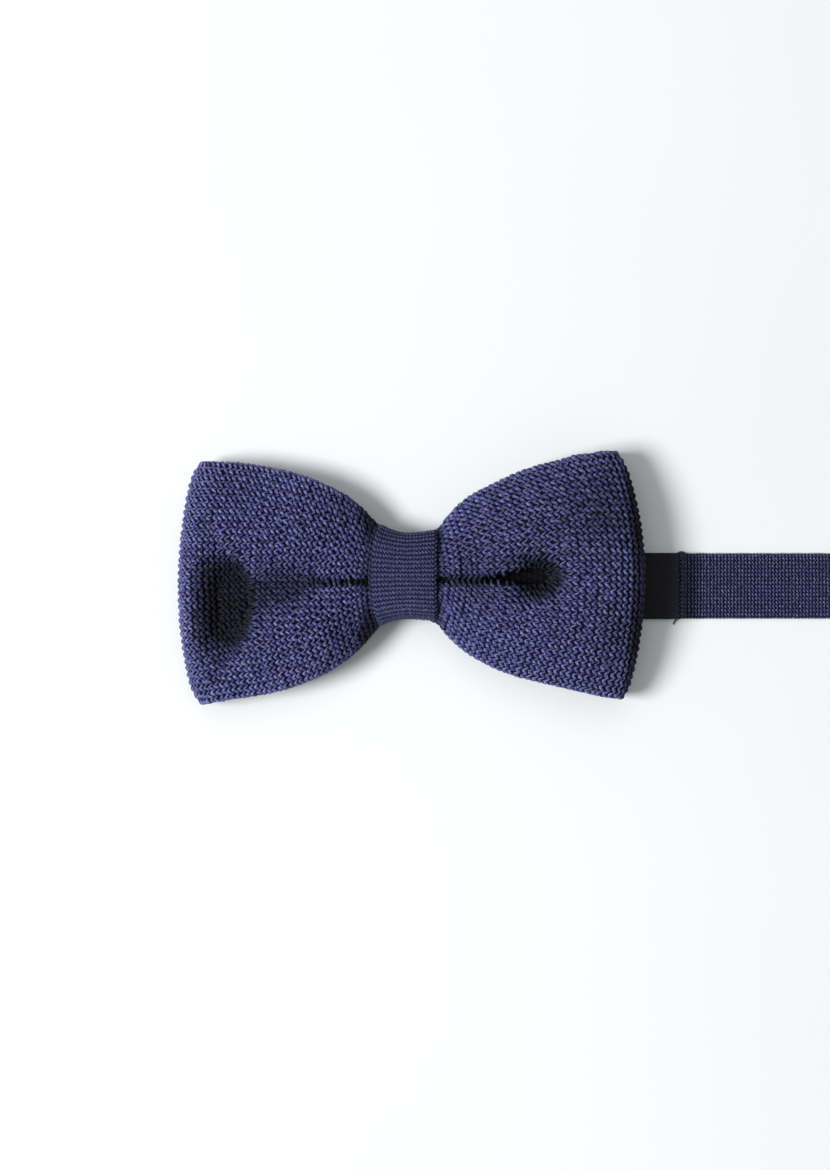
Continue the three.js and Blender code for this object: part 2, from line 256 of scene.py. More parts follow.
# Spun polyester sewing thread: matt and darker than the knit it holds.
THREAD = yarn_material(
    "navy_spun_thread", ("#121322", "#191A2E", "#222338"), cluster_mm=0.6, fibre_mm=0.12,
    sheen=0.05, roughness=0.7)
NICKEL = nickel_material()


# ---- meshes ------------------------------------------------------------------

def make_object(name, mesh, material, smooth=True):
    mesh.materials.clear()
    mesh.materials.append(material)
    if smooth:
        mesh.shade_smooth()
    made = bpy.data.objects.new(name, mesh)
    bpy.context.scene.collection.objects.link(made)
    return made


def evaluated_mesh(made):
    """A curve's mesh, or a mesh with its modifiers made part of it."""
    bpy.context.view_layer.update()
    graph = bpy.context.evaluated_depsgraph_get()
    return bpy.data.meshes.new_from_object(made.evaluated_get(graph))


def mesh_of(work, name):
    """Ends a bmesh and gives its mesh."""
    mesh = bpy.data.meshes.new(name)
    work.to_mesh(mesh)
    work.free()
    return mesh


def sheet_mesh(name, steps_u, steps_v, place, material, thickness, rim=0.0, behind=None):
    """A grid laid on place(u, v), with u and v from 0 to 1, and given a thickness both ways.

    Its second side can have a material of its own, behind."""
    work = bmesh.new()
    bmesh.ops.create_grid(work, x_segments=steps_u, y_segments=steps_v, size=0.5, calc_uvs=True)
    layer = work.loops.layers.uv.verify()
    places = np.array([v.co for v in work.verts]) + 0.5
    points, lengths = place(places[:, 0], places[:, 1])
    for vert, point, length in zip(work.verts, points, lengths):
        vert.co = Vector(point) * MM
        for loop in vert.link_loops:
            loop[layer].uv = (length[0] * MM, length[1] * MM)
    mesh = mesh_of(work, name)
    made = make_object(name, mesh, material)
    if behind:
        mesh.materials.append(behind)
    solid = made.modifiers.new("thickness", "SOLIDIFY")
    solid.material_offset = 1 if behind else 0
    solid.thickness = thickness * MM
    solid.offset = 0
    solid.use_even_offset = False
    mesh = evaluated_mesh(made)
    made.modifiers.clear()
    made.data = mesh
    if rim:
        round_long_edges(mesh, (steps_u + 1) * (steps_v + 1), rim)
    return made


def bevelled(work, edges, width_mm):
    bmesh.ops.bevel(work, geom=edges, offset=width_mm * MM, affect="EDGES", segments=3, profile=0.5,
                    material=-1)


def sharp_edges(work, angle=30):
    return [edge for edge in work.edges if edge.calc_face_angle(0) > math.radians(angle)]


def round_long_edges(mesh, face_points, width_mm):
    """Rounds a strip's two long edges on both faces.

    Its ends stay square, to meet the next strip."""
    work = bmesh.new()
    work.from_mesh(mesh)
    edges = []
    for edge in sharp_edges(work, 50):
        one_face = (edge.verts[0].index < face_points) == (edge.verts[1].index < face_points)
        level = abs(edge.verts[0].co.y - edge.verts[1].co.y) < 1e-7
        if one_face and level:
            edges.append(edge)
    bevelled(work, edges, width_mm)
    work.to_mesh(mesh)
    work.free()
    mesh.shade_smooth()


def yarn_mesh(name, strands, radius, material, sides=1, closed=False):
    """Strands of yarn or wire. Each one is an array of points in millimetres.

    A fourth column, where there is one, is each point's share of the full radius."""
    curve = bpy.data.curves.new(name, "CURVE")
    curve.dimensions = "3D"
    curve.bevel_depth = radius * MM
    curve.bevel_resolution = sides
    curve.use_fill_caps = True
    for points in strands:
        spline = curve.splines.new("POLY")
        spline.points.add(len(points) - 1)
        flat = np.ones((len(points), 4))
        flat[:, :3] = points[:, :3] * MM
        spline.points.foreach_set("co", flat.ravel())
        if points.shape[1] == 4:
            spline.points.foreach_set("radius", points[:, 3])
        spline.use_cyclic_u = closed
    holder = bpy.data.objects.new(name + "_curve", curve)
    bpy.context.scene.collection.objects.link(holder)
    mesh = evaluated_mesh(holder)
    bpy.data.objects.remove(holder)
    bpy.data.curves.remove(curve)
    return make_object(name, mesh, material)


def store_painted_shade(made, shade_amount):
    """Stores each point's painted shade, from 0 to 1, for the cloth's material to darken its colour by.
    """
    points = np.empty(len(made.data.vertices) * 3)
    made.data.vertices.foreach_get("co", points)
    points = points.reshape(-1, 3) / MM
    layer = made.data.attributes.new("painted_shade_amount", "FLOAT", "POINT")
    layer.data.foreach_set("value", np.clip(shade_amount(*points.T), 0, 1).astype(np.float32))


def smooth_step(value, low, high):
    ratio = np.clip((value - low) / (high - low), 0, 1)
    return ratio * ratio * (3 - 2 * ratio)


def hump(value, centre, width):
    return np.exp(-0.5 * ((value - centre) / width) ** 2)


# ---- knit stitches ------------------------------------------------------------

# One stitch of a column, a V lying on its side: how far up the stitch, how far across the column,
# how far off the cloth, and its share of the yarn's full radius. The point of the V stands proud
# and fat, and its ends pull thin where they tuck under the next stitch.
STITCH_SHAPE = (
    (0.00, 0.50, -1.25, 0.68),
    (0.20, 0.24, 0.10, 1.04),
    (0.42, -0.24, 1.00, 1.20),
    (0.60, -0.50, 0.55, 1.00),
    (0.82, 0.12, -0.60, 0.76),
)
FINE_STITCH_SHAPE = (
    (0.00, 0.42, -1.2, 0.62),
    (0.26, 0.06, 0.5, 1.10),
    (0.54, -0.42, 1.0, 1.12),
    (0.78, 0.00, -0.4, 0.72),
)

hand = np.random.default_rng(11)     # the unevenness of every stitch, drawn in the order they are made


def stitch_column(first, last, shape, unevenness):
    """Rows, across, lift and thickness for a column that runs from one stitch count to another."""
    count = int(math.ceil(last - first))
    points = len(shape)
    table = np.tile(np.array(shape), (count, 1))
    table[:, 0] += first + np.repeat(np.arange(count), points)
    drift = np.repeat(hand.normal(0, 1, (count, 4)), points, axis=0)
    table += drift * unevenness * (0.8, 1.2, 3.0, 1.2)
    table += hand.normal(0, 1, table.shape) * unevenness * (0.3, 0.7, 1.2, 0.8)
    order = np.argsort(table[:, 0])
    table[:, 0] = table[order, 0]
    return table.T


def lengths_along(line):
    """How far along a line of points each of them lies."""
    steps = np.linalg.norm(np.diff(line, axis=0), axis=1)
    return np.concatenate([[0], np.cumsum(steps)])


def unit(vectors):
    return vectors / (np.linalg.norm(vectors, axis=-1, keepdims=True) + 1e-9)


def rolled(here, normal, up, beyond, radius):
    """A point held off the cloth, which rolls round the cloth's edge past its end."""
    angle = np.clip(np.abs(beyond) / np.maximum(radius, 1e-6), 0, math.pi)[:, None]
    over_edge = up * (np.sign(beyond)[:, None] * np.sin(angle))
    return here + radius[:, None] * (normal * np.cos(angle) + over_edge)


# ---- the bow's wings ---------------------------------------------------------

PLY = 1.3                # backing, without its raised yarn
PLY_STEPS = (170, 110)   # round the loop and up it
YARN = 0.36              # radius of the bow's yarn
SWING = 0.84             # share of a column that its V spans
HALF_ROWS = 17.5         # stitches from the bow's middle to its edge, at the outer fold
EDGE_ROWS = 1.5          # stitches that roll over each edge
ROOT_OUT = 3.0           # where the wings start, under the knot band
FLAT_TURN = 0.40         # share of the loop that is its front, and again its back; the fold is between
CREASE_Y = 1.2           # height of the front pleat's line
SPLIT = 0.22             # how far a slit is open where the yarn stops at its lips
LEAST_ROOM = 1.6         # between the front and the back where the front falls in
LOOP_SAMPLES = 400       # for measuring along the loop
MEASURED_AT = 0.80       # share of the height at which it is measured
PLEAT_ROOT = 8           # how far out the pleat takes in all its stitches


class Wing:
    """One loop of the bow, in millimetres. out is the distance from the knot's middle, on either side.

    top and bottom are its outline, as (out, y). reach is its nose, at the height middle. arc is the
    radius of a column above the middle at the nose, below it, and at the root. corner_cut takes the
    corners in. front and back give the heights of its two faces, and slit is 1 where the front is
    open. fold_start and fold_square shape the nose in plan, column is a stitch column's width, and
    pleat is where the front pleat ends and how many stitches it takes in at the knot."""

    def __init__(self, side, top, bottom, reach, middle, arc, corner_cut, front, back, slit,
                 fold_start, fold_square, column, pleat):
        self.side, self.reach, self.middle = side, reach, middle
        self.top, self.bottom = top, bottom
        self.arc, self.corner_cut = arc, corner_cut
        self.front, self.back, self.slit = front, back, slit
        self.fold_start, self.fold_square = fold_start, fold_square
        self.column, self.pleat = column, pleat
        self.turns = np.linspace(0, 1, LOOP_SAMPLES)
        path = self.raw_surface(self.turns, np.full(LOOP_SAMPLES, MEASURED_AT))
        self.lengths = lengths_along(path)
        self.length = self.lengths[-1]

    @staticmethod
    def edge(profile, out):
        return np.interp(out, *zip(*profile))

    def lean(self, y, ratio):
        """How far a column falls back towards the knot at height y: columns fan out as arcs."""
        upper, lower, root = self.arc
        radius = root + (np.where(y > self.middle, upper, lower) - root) * ratio
        half = np.where(y > self.middle, self.top[-1][1] - self.middle, self.middle - self.bottom[-1][1])
        share = np.abs(y - self.middle) / half
        return (y - self.middle) ** 2 / (2 * radius) + self.corner_cut * share ** 14 * ratio

    def plan(self, turn, share):
        """Plan position for a turn of the loop from 0 to 1, and a share from bottom to top."""
        angle = np.clip((turn - FLAT_TURN) / (1 - 2 * FLAT_TURN), 0, 1) * math.pi
        rest = np.minimum(turn, 1 - turn) / FLAT_TURN
        power = self.fold_square
        sine, cosine = np.sin(angle), np.cos(angle)
        folded = (angle > 1e-9) & (angle < math.pi - 1e-9)
        ratio = np.where(folded, self.fold_start + (1 - self.fold_start) * np.abs(sine) ** power,
                         np.minimum(rest, 1) * self.fold_start)
        level = np.sign(cosine) * np.abs(cosine) ** power
        out = ROOT_OUT + ratio * (self.reach - ROOT_OUT)
        for _ in range(4):
            low = self.edge(self.bottom, out)
            y = low + (self.edge(self.top, out) - low) * share
            out = ROOT_OUT + ratio * (self.reach - ROOT_OUT) - self.lean(y, ratio)
            out = np.maximum(out, 1.5)
        return out, y, level

    def raw_surface(self, turn, share):
        out, y, level = self.plan(turn, share)
        spread = 2 * share - 1
        front = self.front(out, y, spread)
        back = self.back(out, y, spread)
        z = (front + back) / 2 + (front - back) / 2 * level
        return np.stack([self.side * out, y, z], -1)

    def turn_at(self, along):
        return np.interp(along, self.lengths, self.turns)

    def surface(self, along, share):
        return self.raw_surface(self.turn_at(along), share)

    def height(self, along):
        turn = self.turn_at(along)
        return self.plan(turn, np.ones_like(turn))[1] - self.plan(turn, np.zeros_like(turn))[1]

    def lifted(self, along, share, lift):
        """A point on the outside of the ply, rolled over its top and bottom edges past the ends."""
        inside = np.clip(share, 0, 1)
        step_a, step_s = 0.08, 0.002
        here = self.surface(along, inside)
        ahead = self.surface(along + step_a, inside) - self.surface(along - step_a, inside)
        up = self.surface(along, inside + step_s) - self.surface(along, inside - step_s)
        normal = unit(np.cross(ahead, up) * self.side)
        beyond = (share - inside) * self.height(along)
        return rolled(here, normal, unit(up), beyond, PLY / 2 + lift)

    def taken(self, out):
        """Whole stitches on each side of the middle that the front pleat has taken in, that far out."""
        start, most = self.pleat
        return int(round(most * min(max((start - out) / (start - PLEAT_ROOT), 0), 1) ** 1.2))


def wing_strands(wing):
    """The yarn of every column, from below the bottom edge to above the top one."""
    strands = []
    for index in range(int(wing.length / wing.column)):
        middle = (index + 0.5) * wing.column
        turn = wing.turn_at(np.full(1, middle))
        out = wing.plan(turn, np.full(1, 0.5))[0][0]
        low, high = (wing.plan(turn, np.full(1, share))[1][0] for share in (0.0, 1.0))
        taken = wing.taken(out) if middle < wing.length / 2 else 0
        seam = (CREASE_Y - low) / (high - low)
        at_fold = hump(middle / wing.length, 0.5, 0.035)
        for half in ((-1, 1) if taken else (0,)):
            first = -HALF_ROWS - EDGE_ROWS if half <= 0 else taken
            last = HALF_ROWS + EDGE_ROWS if half >= 0 else -taken
            rows, across, lift, fat = stitch_column(first, last, STITCH_SHAPE, 0.06)
            share = 0.5 + rows / (2 * HALF_ROWS)
            if half:
                room = 1 - seam if half > 0 else seam
                share = seam + half * (np.abs(rows) - taken) / (HALF_ROWS - taken) * room
            if middle < wing.length / 2:
                plan_out, plan_y, _ = wing.plan(np.full(len(share), turn[0]), np.clip(share, 0, 1))
                clear = wing.slit(plan_out, plan_y) < SPLIT
                if half == 0 and not clear.all():
                    half = 1
                column = (rows, across, lift, fat, share)
                rows, across, lift, fat, share = (part[clear] for part in column)
            along = middle + wing.side * across * SWING * wing.column * (1 - 0.35 * at_fold)
            at_edge = smooth_step(np.abs(rows), HALF_ROWS - 2, HALF_ROWS)
            lifts = YARN * (0.66 + 0.78 * lift * (1 - 0.7 * at_edge) * (1 - 0.55 * at_fold))
            points = wing.lifted(along, share, lifts)
            strands.append(np.concatenate([points, fat[:, None]], 1))
    return strands


def opening(y, middle, half):
    """1 inside a slit that reaches half its height each way from its middle, 0 outside it."""
    return smooth_step(-np.abs(y - middle), -half - 0.7, -half + 0.3)


def left_slit(out, y):
    """A closed crease from the knot outwards."""
    return opening(y, CREASE_Y - 0.1, 0.08) * smooth_step(-out, -25, -21)


def dimple_wall(y):
    """Where the steep wall of the left wing's dimple stands, nearest the knot just below the middle."""
    return 38.4 + 0.022 * (y + 5) ** 2


def left_hollow(out, y):
    """How far the front falls in, in millimetres: crease, valley and dimple."""
    line = 6.5 * left_slit(out, y)
    valley = 3.2 * hump(y, 1.4 - 0.16 * (out - 18), 1.6 + 0.12 * out) * smooth_step(out, 10, 28)
    valley = valley * smooth_step(-out, -52, -42)
    wall = dimple_wall(y)
    inward = smooth_step(out, wall - 0.8, wall + 2.6) * smooth_step(-out, -56.5, -45)
    dimple = 7.4 * inward * hump(y, -4.5, 9.0)
    return np.minimum(line + valley + dimple, 8.8)


def left_front(out, y, spread):
    level = 11.6 + 3.9 * smooth_step(out, 6, 26) - 0.9 * smooth_step(out, 44, 58)
    edge = (3.2 + 1.6 * smooth_step(out, 10, 40)) * np.abs(spread) ** 2.6
    bulge = 1.5 * hump(out, 29, 11) * hump(y, -9, 7)
    lowest = left_back(out, y, spread) + LEAST_ROOM
    return np.maximum(level - edge + bulge - left_hollow(out, y), lowest)


def left_back(out, y, spread):
    """The back rises where the eye swings up into it."""
    over_eye = 3.2 + 2.0 * smooth_step(out, 38, 42) - 3.6 * smooth_step(out, 47, 51)
    return 2.2 + over_eye * smooth_step(-np.abs(y), -15, -11)


def left_painted_shade(out, y):
    """The painted shade on the left wing's front, from 0 to 1 and past it: in its crease, valley and
    dimple, and next to the knot.
    """
    shade_by_knot = 0.75 * hump(out, 8.5, 2.0) + 0.55 * hump(out, 11, 7) * smooth_step(-y, 3, 13)
    upper = 0.45 * hump(out, 11, 7) * smooth_step(y, 9, 19)
    wall = dimple_wall(y)
    shadowed = smooth_step(out, wall - 0.8, wall + 1.2) * smooth_step(-out, -56.5, -51.5)
    shadowed = shadowed * smooth_step(y, -21, -13) * smooth_step(-y, -10, -4)
    between = smooth_step(out, 20, 27) * smooth_step(-out, -46, -37)
    valley = 0.5 * between * hump(y, 1.6 - 0.18 * (out - 20), 1.5 + 0.17 * (out - 20))
    lip = 0.8 * hump(y, CREASE_Y - 0.1, 0.9) * smooth_step(-out, -27, -21)
    return left_hollow(out, y) / 12.0 + 0.62 * shadowed + valley + shade_by_knot + upper + lip


def right_slit(out, y):
    """A crease that opens into a lens-shaped hollow."""
    past = np.clip(out - 19, 0, None)
    middle = 1.45 + 0.075 * past
    half = 0.05 + 0.16 * past
    return opening(y, middle, half) * smooth_step(-out - 0.22 * (y - middle) ** 2, -38.6, -37.4)


def right_hollow(out, y):
    """How far the front falls in, in millimetres: the lens, its soft far end and a wide funnel."""
    lens = right_slit(out, y) * (0.6 + 0.4 * smooth_step(out, 15, 22))
    far_end = smooth_step(-out - 0.16 * (y - 2.2) ** 2, -43.5, -36.5) * smooth_step(out, 26, 37)
    funnel = 3.2 * hump(y, 2.0, 6.0) * smooth_step(out, 8, 20) * smooth_step(-out, -48, -35)
    return np.minimum(10.5 * np.maximum(lens, far_end * hump(y, 2.2, 4.2)) + funnel, 12.5)


def right_front(out, y, spread):
    level = 11.6 + 6.6 * smooth_step(out, 6, 46) - 1.0 * smooth_step(out, 52, 58)
    edge = (3.0 + 2.2 * smooth_step(out, 10, 40)) * np.abs(spread) ** 2.6
    return np.maximum(level - edge - right_hollow(out, y), 5.4)


def right_back(out, y, spread):
    return 2.6 + 0.8 * smooth_step(out, 30, 60)


def right_painted_shade(out, y):
    """The painted shade on the right wing's front, from 0 to 1 and past it: in its hollow and crease,
    next to the knot, at its outer corners, over its upper part and on the rim where its nose turns down.
    """
    shade_by_knot = 0.8 * hump(out, 8.6, 1.1)
    lip = 0.8 * hump(y, 1.5, 0.9) * smooth_step(-out, -25, -19)
    corner = 0.5 * hump(out, 53, 7) * hump(y, 20, 9) + 0.4 * hump(out, 55, 5) * hump(y, -12, 6)
    turned_down = 0.75 * smooth_step(out + 0.0022 * (y - 3) ** 2, 57.4, 59.2)
    upper = 0.22 * hump(out, 36, 14) * smooth_step(y, 6, 16)
    return right_hollow(out, y) / 7.5 + lip + shade_by_knot + corner + turned_down + upper


LEFT = Wing(
    side=-1,
    top=((3, 11.5), (6, 14.0), (8, 16.1), (10, 18.2), (12, 19.9), (15, 22.3), (20, 24.9), (25, 27.0),
         (30, 28.5), (35, 29.6), (40, 30.4), (44, 30.9), (51, 31.2)),
    bottom=((3, -6.2), (6, -8.6), (8, -10.8), (10, -13.3), (12, -15.4), (15, -18.0), (20, -21.3),
            (25, -23.6), (30, -25.4), (35, -26.7), (40, -27.6), (44, -28.1), (52, -29.6)),
    reach=57.1, middle=-0.3, arc=(132, 116, 24), corner_cut=1.4,
    front=left_front, back=left_back, slit=left_slit,
    fold_start=0.88, fold_square=1.0, column=1.42, pleat=(42, 7))
RIGHT = Wing(
    side=1,
    top=((3, 10.5), (6, 12.4), (9, 13.7), (11, 16.5), (13, 18.8), (16, 21.5), (20, 23.8), (25, 26.2),
         (30, 28.5), (35, 30.2), (40, 31.3), (45, 32.8), (49, 33.1), (51, 33.7), (54, 33.8)),
    bottom=((3, -5.6), (6, -7.2), (9, -8.7), (11, -11.3), (13, -13.3), (16, -15.9), (20, -18.4),
            (25, -20.8), (30, -22.5), (35, -23.7), (40, -24.9), (45, -26.1), (52, -27.6), (57, -28.3)),
    reach=60.8, middle=3.0, arc=(86, 118, 24), corner_cut=1.0,
    front=right_front, back=right_back, slit=right_slit,
    fold_start=0.90, fold_square=0.8, column=1.55, pleat=(42, 7))


def make_wing(name, wing):
    """A wing's ply and its yarn. The left loop is laid out mirrored, so its sheet's sides change over."""
    def place(u, v):
        along = u * wing.length
        return wing.surface(along, v), np.stack([along, v * wing.height(along)], -1)

    first, second = (BOW_INSIDE, BOW_BACKING_PAINTED_SHADE) if wing is LEFT else (BOW_BACKING_PAINTED_SHADE, BOW_INSIDE)
    ply = sheet_mesh(name + "_ply", *PLY_STEPS, place, first, PLY, behind=second)
    yarn = yarn_mesh(name + "_stitches", wing_strands(wing), YARN, BOW_YARN)
    # Painted shade on the front of the ply and its yarn.
    shade_amount = left_painted_shade if wing is LEFT else right_painted_shade
    for piece in (ply, yarn):
        store_painted_shade(piece, lambda x, y, z: shade_amount(np.abs(x), y) * smooth_step(z, 5, 8))
    return ply, yarn


for body, wing in (("left_wing", LEFT), ("right_wing", RIGHT)):
    ply, yarn = make_wing(body, wing)
    for piece in (ply, yarn):
        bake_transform(piece)
        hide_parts(body)


# ---- strips of fine knit and of elastic -------------------------------------

FINE_YARN = 0.215        # radius of the strap's yarn
FINE_COLUMN = 0.89       # along the strip
FINE_STITCH = 1.04       # across it
FINE_SWING = 0.66        # share of a column that its V spans
FINE_PLY = 0.5           # backing, without its yarn
COLUMNS_IN = 0.75        # from the strip's edge to the ends of its columns
SELVEDGE_IN = 0.36       # and to the middle of its twisted edge
HALF_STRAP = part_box("strap_1")[1].y / MM


class Strip:
    """A strip that follows a line, given as points in millimetres, and is as wide as the strap.

    place(length, across) gives points in space, with length measured along the line."""

    def __init__(self, line, place=None):
        self.line = np.array(line, float)
        self.lengths = lengths_along(self.line)
        self.length = self.lengths[-1]
        self.bent = place

    def place(self, length, across):
        if self.bent:
            return self.bent(length, across)
        x = np.interp(length, self.lengths, self.line[:, 0])
        z = np.interp(length, self.lengths, self.line[:, 1])
        beyond = np.clip(length - self.length, 0, None) + np.clip(length, None, 0)
        last = self.line[-1] - self.line[-2]
        direction = last / np.linalg.norm(last)
        return np.stack([x + beyond * direction[0], across + 0 * x, z + beyond * direction[1]], -1)

    def frame(self, length, across):
        """A point and the strip's outward normal there."""
        step = 0.05
        here = self.place(length, across)
        ahead = self.place(length + step, across) - self.place(length - step, across)
        side = self.place(length, across + step) - self.place(length, across - step)
        return here, unit(np.cross(ahead, side))


def rounded_line(points, steps=7):
    """A side view's corners, each given as (x, z, radius), joined by straights and arcs."""
    corners = [np.array(p[:2], float) for p in points]
    line = [corners[0]]
    for index in range(1, len(points) - 1):
        before, here, after = corners[index - 1:index + 2]
        into, out = before - here, after - here
        into, out = into / np.linalg.norm(into), out / np.linalg.norm(out)
        turn = math.acos(np.clip(into @ out, -1, 1))
        cut = points[index][2] / math.tan(turn / 2)
        start, end = here + into * cut, here + out * cut
        for share in np.linspace(0, 1, steps):
            line.append((1 - share) ** 2 * start + 2 * share * (1 - share) * here + share ** 2 * end)
    line.append(corners[-1])
    return line


def arc(centre, radius, start, end, steps=16):
    """Points round a circle in the side view, between two angles in degrees."""
    angles = np.radians(np.linspace(start, end, steps))
    return [(centre[0] + radius * math.cos(t), centre[1] + radius * math.sin(t)) for t in angles]


def fine_strands(strip, first, last, half_width, faces, column, stitch):
    """Yarn columns across a strip, on each face, with a twisted selvedge along both edges."""
    strands = []
    ends = (half_width - COLUMNS_IN) / stitch
    for face in faces:
        for index in range(math.ceil(first / column), math.ceil(last / column)):
            middle = (index + 0.5) * column - first
            rows, across, lift, fat = stitch_column(-ends, ends, FINE_STITCH_SHAPE, 0.04)
            rows = np.clip(rows, -ends, ends)
            length = np.full(len(rows), middle) + across * FINE_SWING * column
            here, normal = strip.frame(length, rows * stitch)
            raised = FINE_PLY / 2 + FINE_YARN * (0.35 + 0.7 * lift)
            points = here + normal * face * raised[:, None]
            strands.append(np.concatenate([points, fat[:, None]], 1))
    for edge_side in (-1, 1):
        length = np.arange(0, last - first, column / 5)
        twist = 2 * math.pi * (length + first) / column
        across = edge_side * (half_width - SELVEDGE_IN + 0.13 * np.cos(twist))
        here, normal = strip.frame(length, across)
        strands.append(here + normal * (0.22 * np.sin(twist))[:, None])
    return strands


def make_knit_strip(name, strip, start=0.0, faces=(1, -1), half_width=None, material=None,
                    backing=STRAP_BACKING_PAINTED_SHADE, column=FINE_COLUMN, stitch=FINE_STITCH):
    """The backing and yarn of a knitted strip.

    start keeps its columns in step with the strip before it."""
    half = half_width or HALF_STRAP

    def place(u, v):
        length, across = u * strip.length, (v - 0.5) * 2 * (half - 0.3)
        return strip.place(length, across), np.stack([length + start, across + half], -1)

    steps = max(8, int(strip.length / 0.7))
    ply = sheet_mesh(name + "_ply", steps, 14, place, backing, FINE_PLY)
    strands = fine_strands(strip, start, start + strip.length, half, faces, column, stitch)
    yarn = yarn_mesh(name + "_stitches", strands, FINE_YARN, material or STRAP_YARN, sides=0)
    return ply, yarn


def settle(piece, body, node):
    """Puts a rigid piece on the body that it rides on, and hides the CAD node that it stands in for."""
    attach(piece, body)
    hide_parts(node)


def declare_strip(ply, pieces, nodes):
    """Hides the CAD nodes that a strip stands in for."""
    for piece in [ply, *pieces]:
        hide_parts(*nodes)


# ---- knot --------------------------------------------------------------------

band_low, band_high = (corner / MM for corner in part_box("knot_band"))
BAND_MIDDLE_Z = (band_low.z + band_high.z) / 2
BAND_HALF_Z = (band_high.z - band_low.z) / 2 - FINE_PLY / 2 - FINE_YARN
BAND_MIDDLE_Y = 2.65
BAND_WAIST = 10.6        # half the band's height where it is narrowest
BAND_WAIST_X = 0.8       # where that is
BAND_HALF_WIDTH = 8.4    # to its twisted edges
BAND_SQUARE = 0.62       # 1 is an oval; less is squarer, seen from the side
BAND_SAMPLES = 600


def band_point(around, across, inset=0.0):
    """around is a turn from 0 to 1 that starts behind the knot; across is in X."""
    angle = -2 * math.pi * around - math.pi / 2
    x = across
    flare = np.abs(x - BAND_WAIST_X) / BAND_HALF_WIDTH
    flare = np.where(x < BAND_WAIST_X, 2.0, 1.0) * flare ** 1.6
    cosine, sine = np.cos(angle), np.sin(angle)
    half = BAND_WAIST + flare * np.where(cosine > 0, 1.0, 0.8) - inset
    y = BAND_MIDDLE_Y + half * np.sign(cosine) * np.abs(cosine) ** BAND_SQUARE
    bulge = 0.25 * hump(x, -1.0, 7.0)
    z = BAND_MIDDLE_Z + (BAND_HALF_Z - inset) * np.sign(sine) * np.abs(sine) ** BAND_SQUARE
    z = z - (0.55 * (np.abs(x) / BAND_HALF_WIDTH) ** 2.5 - bulge) * (sine > 0) * np.abs(sine)
    share = np.abs(y - BAND_MIDDLE_Y) / BAND_WAIST
    left, right = np.clip(-x / BAND_HALF_WIDTH, 0, 1), np.clip(x / BAND_HALF_WIDTH, 0, 1)
    x = x + left * (-0.5 + 1.9 * share ** 2) + right * (-0.35 + 0.35 * share ** 2)
    return np.stack([x, y, z], -1)


around_samples = np.linspace(0, 1, BAND_SAMPLES)
around_lengths = lengths_along(band_point(around_samples, np.full(BAND_SAMPLES, 0.5)))
BAND_ROUND = around_lengths[-1]
BAND_GAP = 0.3           # left where the band's ends meet, behind the knot


def band_place(length, across):
    turn = np.floor(length / BAND_ROUND)
    part = np.interp(length - turn * BAND_ROUND, around_lengths, around_samples)
    return band_point(turn + part, across)


def make_band():
    """The strip of fine knit round the knot, with yarn on its outer face only."""
    strip = Strip([(0, 0), (BAND_ROUND - BAND_GAP, 0)], band_place)
    ply, yarn = make_knit_strip("knot_band", strip, faces=(-1,), half_width=8.75, material=BAND_YARN,
                                backing=BAND_BACKING_PAINTED_SHADE, column=1.1, stitch=0.85)
    for piece in (ply, yarn):
        # Painted shade on the band's twisted edges and on its top and bottom, where it turns down.
        store_painted_shade(piece, lambda x, y, z: 0.55 * smooth_step(np.abs(x), 7.9, 8.6)
                    + 0.3 * smooth_step(np.abs(y - BAND_MIDDLE_Y), 8.6, 10.6) * smooth_step(z, 4, 8))
        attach(piece, "knot")
    declare_strip(ply, [yarn], ("knot_band",))


def make_middle():
    """The bow's gathered middle inside the band, and the thread wound round it."""
    pleats, pleat_depth = 14, 0.45
    width, round_length, room_inside = 6.6, 62, 9

    def place(u, v):
        deep = pleat_depth * (np.cos(2 * math.pi * u * pleats) - 1)
        x = (v - 0.5) * width
        point = band_point(u, np.full(len(u), BAND_WAIST_X), inset=2.3)
        middle = np.array([0, BAND_MIDDLE_Y, BAND_MIDDLE_Z])
        point = middle + (point - middle) * (1 + deep[:, None] / room_inside)
        point[:, 0] = x
        return point, np.stack([u * round_length, v * width], -1)

    ply = sheet_mesh("gathered_middle_ply", 280, 8, place, BOW_YARN, 1.0)
    wound, wound_width = 6, 2.2
    turns = np.linspace(0, wound, wound * 60)
    helix = band_point(turns % 1.0, np.full(len(turns), BAND_WAIST_X), inset=1.45)
    helix[:, 0] = wound_width * (turns / wound - 0.5)
    thread = yarn_mesh("gathering_thread_turns", [helix], 0.2, THREAD)
    settle(ply, "knot", "gathered_middle")
    settle(thread, "knot", "gathering_thread")


make_band()
make_middle()


# ---- elastic -------------------------------------------------------------------

ELASTIC_THICK = 1.0
ELASTIC_LEVEL = 0.55     # of its middle where it lies flat
EYE_BAR = (-36.5, 2.2)   # x and z


def make_elastic(name, line, node):
    """A length of woven elastic along a line, with rounded long edges."""
    strip = Strip(line)

    def place(u, v):
        length, across = u * strip.length, (v - 0.5) * 2 * HALF_STRAP
        return strip.place(length, across), np.stack([length, across + HALF_STRAP], -1)

    ply = sheet_mesh(name, max(12, int(strip.length / 0.8)), 20, place, ELASTIC, ELASTIC_THICK, rim=0.3)
    declare_strip(ply, [], (node,))
    return ply


SHORT_END_STOP = 2.0     # where the short end hands over to the long elastic, under the knot
MID_ELASTIC = 36.0       # where its two lengths meet
SEAM = 72.0              # where the strap's hem takes it in

